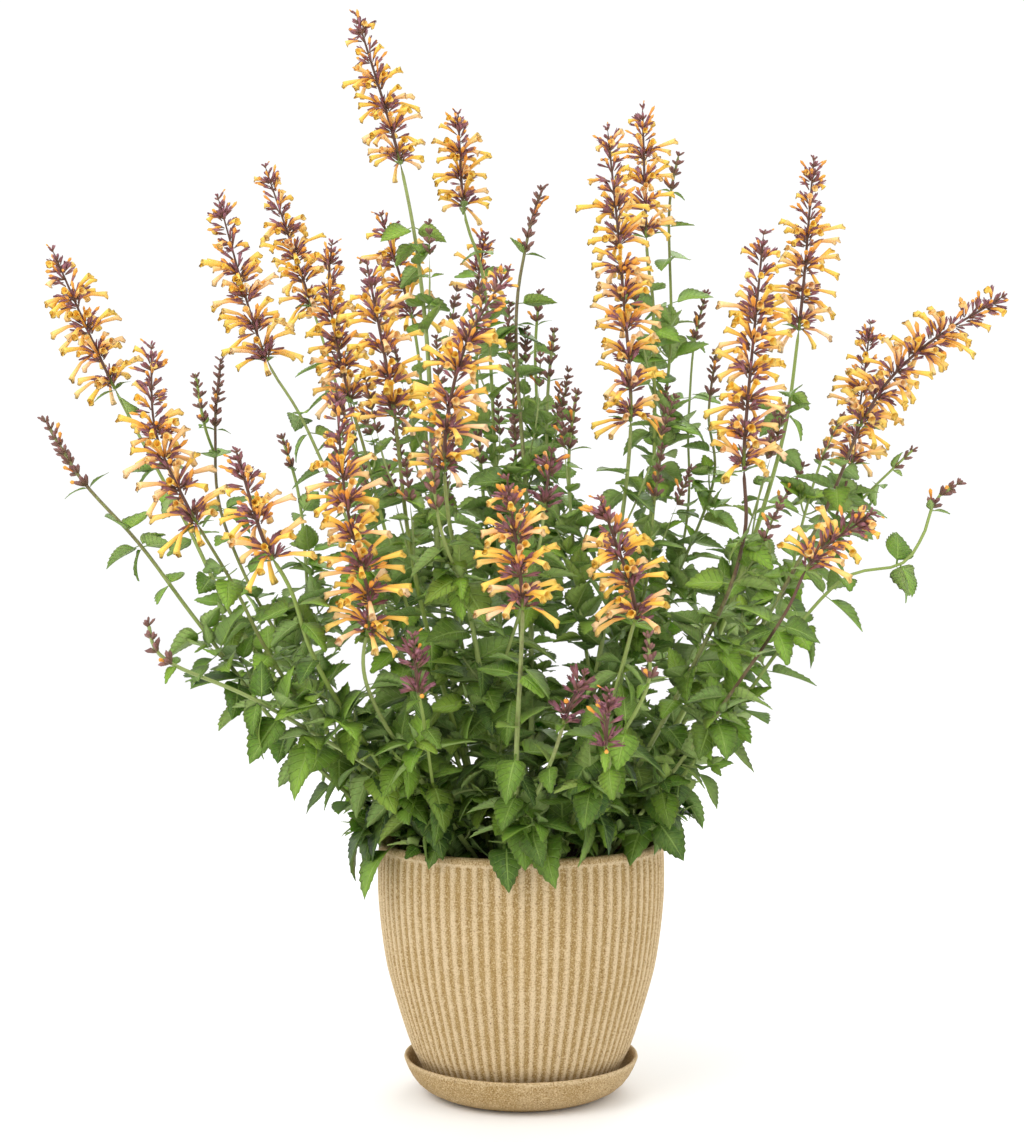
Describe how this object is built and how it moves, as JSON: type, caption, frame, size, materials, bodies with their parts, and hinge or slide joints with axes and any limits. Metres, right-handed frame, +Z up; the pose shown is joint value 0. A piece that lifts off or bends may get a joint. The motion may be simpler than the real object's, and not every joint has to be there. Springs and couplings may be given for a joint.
{
  "type": "potted giant hyssop",
  "caption": "Bushy flowering giant hyssop with toothed leaves and tall spikes of orange tube flowers, growing in a fluted clay pot that stands on a round saucer.",
  "frame": {"origin": "centre of the saucer's foot, on the surface that it stands on", "axes": "+Z up along the pot's axis, -Y towards the viewer of the front, +X to the viewer's right"},
  "size_m": [0.8396, 0.6318, 0.9978],
  "materials": {
    "clay": "unglazed, matt, finely speckled",
    "soil": "loose bark and peat",
    "foliage": "soft leaf, matt",
    "flower": "thin petal, soft"
  },
  "bodies": {
    "root": {"bloom_back_centre": "flower", "bloom_centre_lean": "flower", "bloom_centre_left": "flower", "bloom_far_left": "flower", "bloom_far_right": "flower", "bloom_front_centre": "flower", "bloom_front_left": "flower", "bloom_front_right": "flower", "bloom_head_centre": "flower", "bloom_head_low_centre": "flower", "bloom_head_low_left": "flower", "bloom_head_low_right": "flower", "bloom_inner_left": "flower", "bloom_left_back": "flower", "bloom_left_column": "flower", "bloom_left_front": "flower", "bloom_left_high": "flower", "bloom_left_middle": "flower", "bloom_low_right": "flower", "bloom_mid_right": "flower", "bloom_right_behind": "flower", "bloom_slim_back": "flower", "bloom_tall_left": "flower", "bloom_twin_back": "flower", "bloom_twin_front": "flower", "bloom_upright_right": "flower", "pot": "clay", "saucer": "clay", "soil": "soil", "stem_back_centre": "foliage", "stem_brown_centre": "foliage", "stem_centre_lean": "foliage", "stem_centre_left": "foliage", "stem_curl_right": "foliage", "stem_far_left": "foliage", "stem_far_right": "foliage", "stem_fork_left": "foliage", "stem_front_centre": "foliage", "stem_front_left": "foliage", "stem_front_right": "foliage", "stem_green_centre": "foliage", "stem_inner_left": "foliage", "stem_left_back": "foliage", "stem_left_column": "foliage", "stem_left_front": "foliage", "stem_left_high": "foliage", "stem_left_middle": "foliage", "stem_low_right": "foliage", "stem_mid_right": "foliage", "stem_right_behind": "foliage", "stem_slim_back": "foliage", "stem_tall_left": "foliage", "stem_thin_far_left": "foliage", "stem_thin_right_back": "foliage", "stem_twin_back": "foliage", "stem_twin_front": "foliage", "stem_upright_right": "foliage"}
  },
  "joints": []
}
